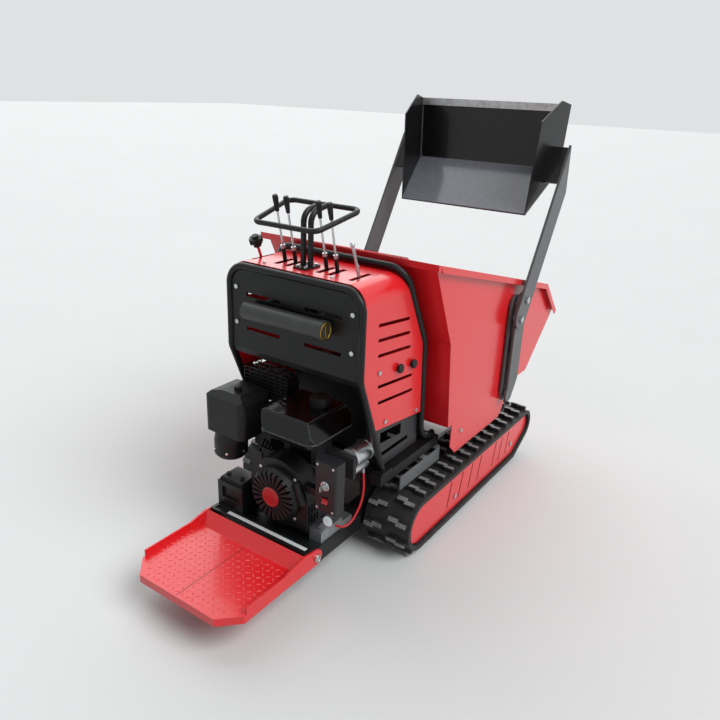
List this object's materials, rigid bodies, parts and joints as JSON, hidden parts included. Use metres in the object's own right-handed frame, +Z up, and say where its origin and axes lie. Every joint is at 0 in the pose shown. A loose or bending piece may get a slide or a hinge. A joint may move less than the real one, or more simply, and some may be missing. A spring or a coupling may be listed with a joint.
{
  "type": "tracked power carrier",
  "caption": "self-loading tracked carrier with rubber tracks, petrol engine on a rear base, fold-up standing platform, lever console, tipping hopper and front loading shovel",
  "frame": {"origin": "on the ground under the middle of the machine's box at rest", "axes": "+X forward from the platform to the hopper's nose, +Y to the driver's left, +Z up"},
  "size_m": [1.921, 0.778, 1.4824],
  "materials": {
    "red_paint": "glossy red powder coat",
    "black_paint": "satin black powder coat",
    "grey_paint": "satin dark grey paint",
    "track_rubber": "moulded rubber, worn grey on the lugs",
    "bare_steel": "bright zinc-plated steel",
    "dark_steel": "dark machined steel",
    "chromed_rod": "hard chrome",
    "cast_aluminium": "die-cast aluminium",
    "valve_iron": "painted casting",
    "black_plastic": "moulded black plastic",
    "gloss_black": "gloss black enamel",
    "red_plastic": "moulded red plastic",
    "cable_red": "red cable sheath",
    "lever_steel": "bright rod with black grip and sleeve"
  },
  "bodies": {
    "chassis": {"chassis_frame": "black_paint", "track_frames": "black_paint", "track_left": "track_rubber", "track_right": "track_rubber", "track_covers": "red_paint", "track_guards": "grey_paint", "cover_bolts": "bare_steel", "engine_base": "black_paint", "engine_block": "cast_aluminium", "fan_housing": "black_paint", "recoil_cover": "black_plastic", "fuel_tank": "gloss_black", "air_cleaner": "black_plastic", "muffler": "dark_steel", "muffler_guard": "black_paint", "control_box": "black_plastic", "starter_motor": "bare_steel", "starter_cable": "cable_red", "battery": "black_plastic", "hydraulic_pump": "cast_aluminium", "oil_tank": "black_paint", "valve_block": "valve_iron", "rear_hoop": "black_paint", "front_hoop": "black_paint", "rear_panel": "black_paint", "document_tube": "black_plastic", "cowl": "red_paint", "side_plates": "grey_paint", "handle": "black_paint", "hinge_pins": "bare_steel"},
    "hopper_body": {"hopper": "red_paint"},
    "loader_body": {"lower_arms": "grey_paint", "upper_arms": "grey_paint", "arm_bolts": "bare_steel", "bucket": "black_paint", "cutting_edge": "bare_steel"},
    "platform_body": {"platform": "red_paint"},
    "tip_ram_barrel_body": {"tip_ram_barrel": "black_paint"},
    "tip_ram_rod_body": {"tip_ram_rod": "chromed_rod"},
    "loader_ram_barrel_body": {"loader_ram_barrel": "black_paint"},
    "loader_ram_rod_body": {"loader_ram_rod": "chromed_rod"},
    "drive_sprocket_left_body": {"drive_sprocket_left": "dark_steel"},
    "idler_left_body": {"idler_left": "dark_steel"},
    "roller_front_left_body": {"roller_front_left": "dark_steel"},
    "roller_rear_left_body": {"roller_rear_left": "dark_steel"},
    "drive_sprocket_right_body": {"drive_sprocket_right": "dark_steel"},
    "idler_right_body": {"idler_right": "dark_steel"},
    "roller_front_right_body": {"roller_front_right": "dark_steel"},
    "roller_rear_right_body": {"roller_rear_right": "dark_steel"},
    "recoil_handle_body": {"recoil_handle": "black_plastic"},
    "fuel_cap_body": {"fuel_cap": "black_plastic"},
    "air_cleaner_knob_body": {"air_cleaner_knob": "black_plastic"},
    "key_switch_body": {"key_switch": "bare_steel"},
    "stop_switch_body": {"stop_switch": "red_plastic"},
    "drive_lever_left_body": {"drive_lever_left": "lever_steel"},
    "drive_lever_right_body": {"drive_lever_right": "lever_steel"},
    "tip_lever_body": {"tip_lever": "lever_steel"},
    "shovel_lever_body": {"shovel_lever": "lever_steel"},
    "throttle_lever_body": {"throttle_lever": "bare_steel"},
    "choke_lever_body": {"choke_lever": "black_plastic"}
  },
  "joints": [
    {"name": "hopper_tip", "type": "hinge", "parent": "chassis", "child": "hopper_body", "pos_m": [0.697, 0, 0.342], "axis": [0, 1, 0], "range_deg": [0, 55]},
    {"name": "loader_lift", "type": "hinge", "parent": "hopper_body", "child": "loader_body", "pos_m": [0.4725, 0, 0.37], "axis": [0, -1, 0], "range_deg": [-88.5, 0]},
    {"name": "platform_fold", "type": "hinge", "parent": "chassis", "child": "platform_body", "pos_m": [-0.578, 0, 0.13], "axis": [0, 1, 0], "range_deg": [0, 45]},
    {"name": "tip_ram_swing", "type": "hinge", "parent": "chassis", "child": "tip_ram_barrel_body", "pos_m": [0.3, 0, 0.14], "axis": [0, -1, 0], "range_deg": [-1, 4.65]},
    {"name": "tip_ram_slide", "type": "slide", "parent": "tip_ram_barrel_body", "child": "tip_ram_rod_body", "axis": [0.7863, 0, 0.6178], "range_m": [-0.002, 0.10823]},
    {"name": "loader_ram_swing", "type": "hinge", "parent": "hopper_body", "child": "loader_ram_barrel_body", "pos_m": [0.15, 0.09, 0.335], "axis": [0, -1, 0], "range_deg": [-4.06, 1]},
    {"name": "loader_ram_slide", "type": "slide", "parent": "loader_ram_barrel_body", "child": "loader_ram_rod_body", "axis": [1, 0, 0.0016], "range_m": [-0.08388, 0.002]},
    {"name": "track_drive_left", "type": "hinge", "parent": "chassis", "child": "drive_sprocket_left_body", "pos_m": [-0.195, 0.285, 0.113], "axis": [0, 1, 0], "continuous": true},
    {"name": "idler_turn_left", "type": "hinge", "parent": "chassis", "child": "idler_left_body", "pos_m": [0.697, 0.285, 0.14], "axis": [0, 1, 0], "continuous": true},
    {"name": "roller_turn_front_left", "type": "hinge", "parent": "chassis", "child": "roller_front_left_body", "pos_m": [0.601, 0.285, 0.0663], "axis": [0, 1, 0], "continuous": true},
    {"name": "roller_turn_rear_left", "type": "hinge", "parent": "chassis", "child": "roller_rear_left_body", "pos_m": [0.271, 0.285, 0.0663], "axis": [0, 1, 0], "continuous": true},
    {"name": "track_drive_right", "type": "hinge", "parent": "chassis", "child": "drive_sprocket_right_body", "pos_m": [-0.195, -0.285, 0.113], "axis": [0, 1, 0], "continuous": true},
    {"name": "idler_turn_right", "type": "hinge", "parent": "chassis", "child": "idler_right_body", "pos_m": [0.697, -0.285, 0.14], "axis": [0, 1, 0], "continuous": true},
    {"name": "roller_turn_front_right", "type": "hinge", "parent": "chassis", "child": "roller_front_right_body", "pos_m": [0.601, -0.285, 0.0663], "axis": [0, 1, 0], "continuous": true},
    {"name": "roller_turn_rear_right", "type": "hinge", "parent": "chassis", "child": "roller_rear_right_body", "pos_m": [0.271, -0.285, 0.0663], "axis": [0, 1, 0], "continuous": true},
    {"name": "recoil_pull", "type": "slide", "parent": "chassis", "child": "recoil_handle_body", "axis": [-1, 0, 0], "range_m": [0, 0.06], "stiffness_N_per_m": 200, "springref_m": -0.02},
    {"name": "fuel_cap_turn", "type": "hinge", "parent": "chassis", "child": "fuel_cap_body", "pos_m": [-0.416, -0.089, 0.57], "axis": [0, 0, 1], "range_deg": [0, 90]},
    {"name": "air_cleaner_knob_turn", "type": "hinge", "parent": "chassis", "child": "air_cleaner_knob_body", "pos_m": [-0.495, 0.188, 0.568], "axis": [0, 0, 1], "range_deg": [0, 360]},
    {"name": "key_turn", "type": "hinge", "parent": "chassis", "child": "key_switch_body", "pos_m": [-0.57, -0.233, 0.392], "axis": [1, 0, 0], "range_deg": [0, 90]},
    {"name": "stop_rock", "type": "hinge", "parent": "chassis", "child": "stop_switch_body", "pos_m": [-0.564, -0.233, 0.34], "axis": [0, 1, 0], "range_deg": [-12, 12]},
    {"name": "drive_left", "type": "hinge", "parent": "chassis", "child": "drive_lever_left_body", "pos_m": [-0.332, 0.113, 0.925], "axis": [0, 1, 0], "range_deg": [-10, 10], "stiffness_Nm_per_rad": 12},
    {"name": "drive_right", "type": "hinge", "parent": "chassis", "child": "drive_lever_right_body", "pos_m": [-0.332, 0.07, 0.925], "axis": [0, 1, 0], "range_deg": [-10, 10], "stiffness_Nm_per_rad": 12},
    {"name": "tip_control", "type": "hinge", "parent": "chassis", "child": "tip_lever_body", "pos_m": [-0.332, -0.052, 0.925], "axis": [0, 1, 0], "range_deg": [-10, 10], "stiffness_Nm_per_rad": 12},
    {"name": "shovel_control", "type": "hinge", "parent": "chassis", "child": "shovel_lever_body", "pos_m": [-0.332, -0.093, 0.925], "axis": [0, 1, 0], "range_deg": [-10, 10], "stiffness_Nm_per_rad": 12},
    {"name": "throttle", "type": "hinge", "parent": "chassis", "child": "throttle_lever_body", "pos_m": [-0.332, -0.178, 0.925], "axis": [0, 1, 0], "range_deg": [-18, 18]},
    {"name": "choke", "type": "hinge", "parent": "chassis", "child": "choke_lever_body", "pos_m": [-0.332, 0.208, 0.925], "axis": [0, 1, 0], "range_deg": [-12, 18]}
  ],
  "couplings": [
    {"joint": "tip_ram_swing", "follows": "hopper_tip", "ratio": 0.066274},
    {"joint": "tip_ram_slide", "follows": "hopper_tip", "m_per_rad": 0.11066},
    {"joint": "loader_ram_swing", "follows": "loader_lift", "ratio": 0.034622},
    {"joint": "loader_ram_slide", "follows": "loader_lift", "m_per_rad": 0.053007},
    {"joint": "idler_turn_left", "follows": "track_drive_left", "ratio": 1.54},
    {"joint": "roller_turn_front_left", "follows": "track_drive_left", "ratio": 2.4458},
    {"joint": "roller_turn_rear_left", "follows": "track_drive_left", "ratio": 2.4458},
    {"joint": "idler_turn_right", "follows": "track_drive_right", "ratio": 1.54},
    {"joint": "roller_turn_front_right", "follows": "track_drive_right", "ratio": 2.4458},
    {"joint": "roller_turn_rear_right", "follows": "track_drive_right", "ratio": 2.4458}
  ]
}
